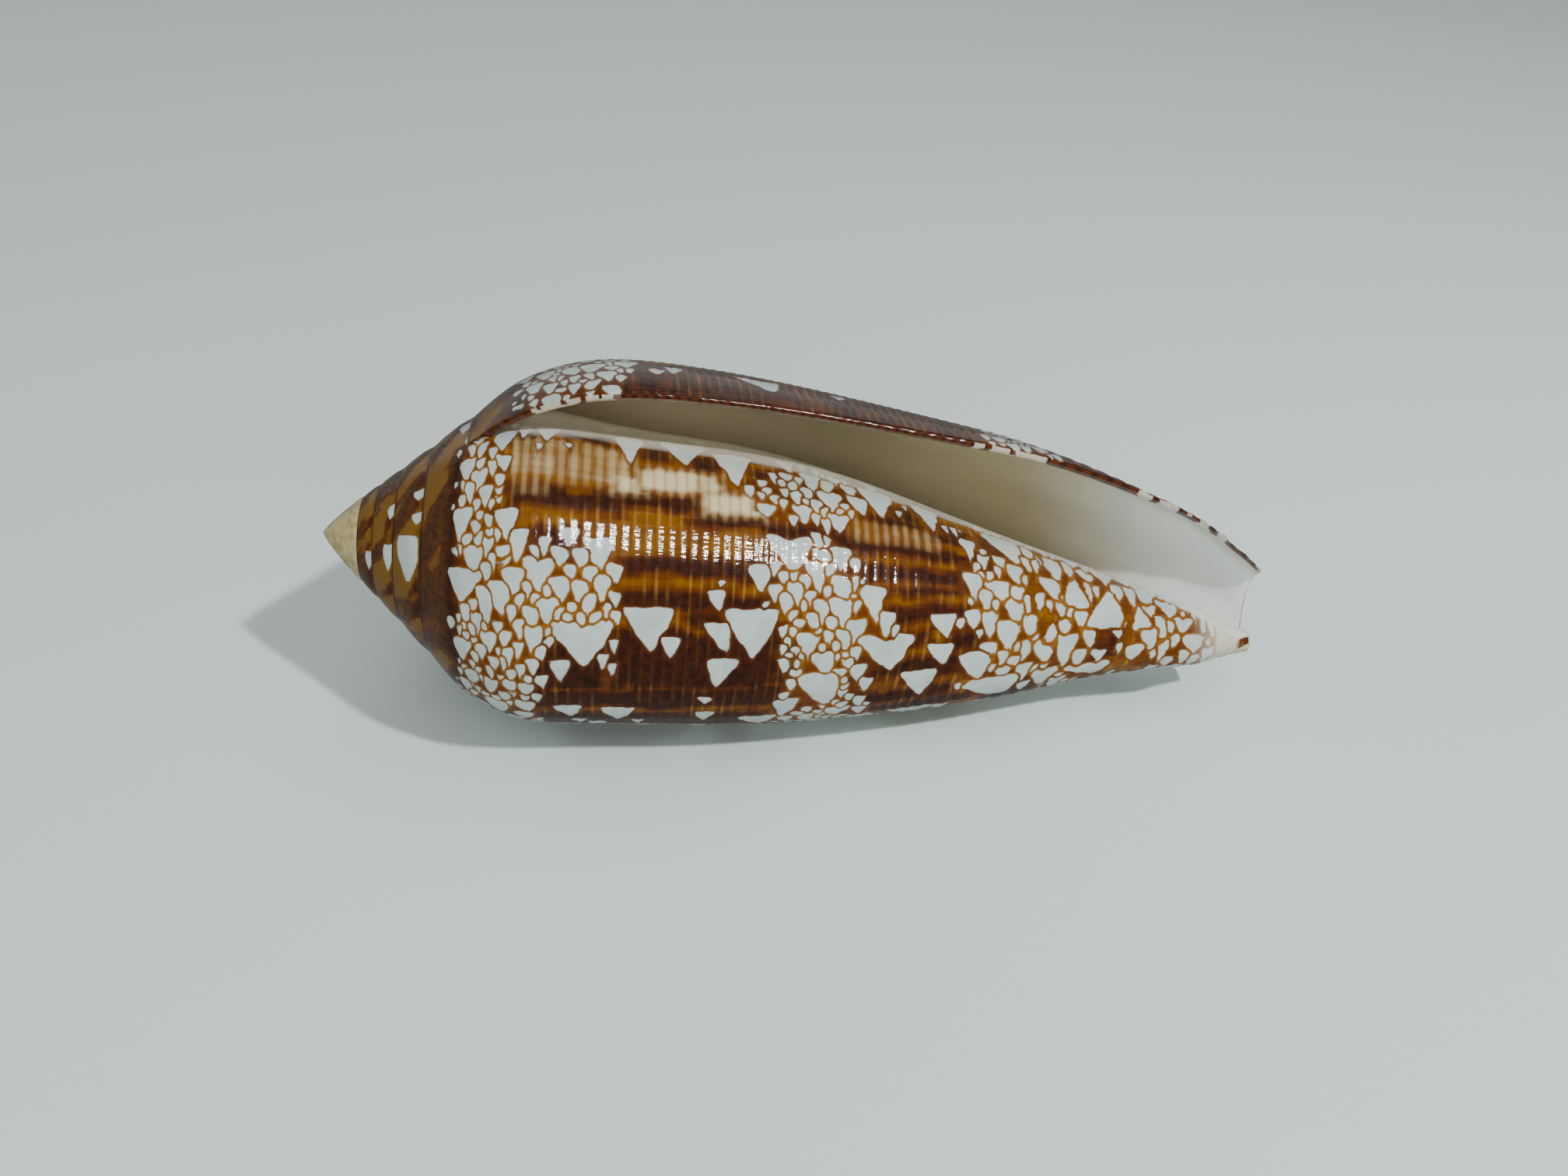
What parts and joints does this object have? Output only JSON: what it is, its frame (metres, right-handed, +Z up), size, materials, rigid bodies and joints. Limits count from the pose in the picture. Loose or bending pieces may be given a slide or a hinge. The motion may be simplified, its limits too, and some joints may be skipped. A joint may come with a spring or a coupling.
{
  "type": "cone shell",
  "caption": "Slender glossy cone shell with a low conical spire, a long open aperture and a tent-patterned body, lying on its side.",
  "frame": {"origin": "centre of the footprint of the shell's box, at the surface it rests on", "axes": "+X from the spire's tip to the narrow front end, +Z up, with the opening and the outer lip on top and the lip at the back (+Y) side of the opening"},
  "size_m": [0.0596, 0.0212, 0.023],
  "materials": {
    "shell_glaze": "glossy natural glaze; white tents netted in brown on golden and dark brown bands, pale lilac-white inside"
  },
  "bodies": {
    "root": {"shell": "shell_glaze"}
  },
  "joints": []
}
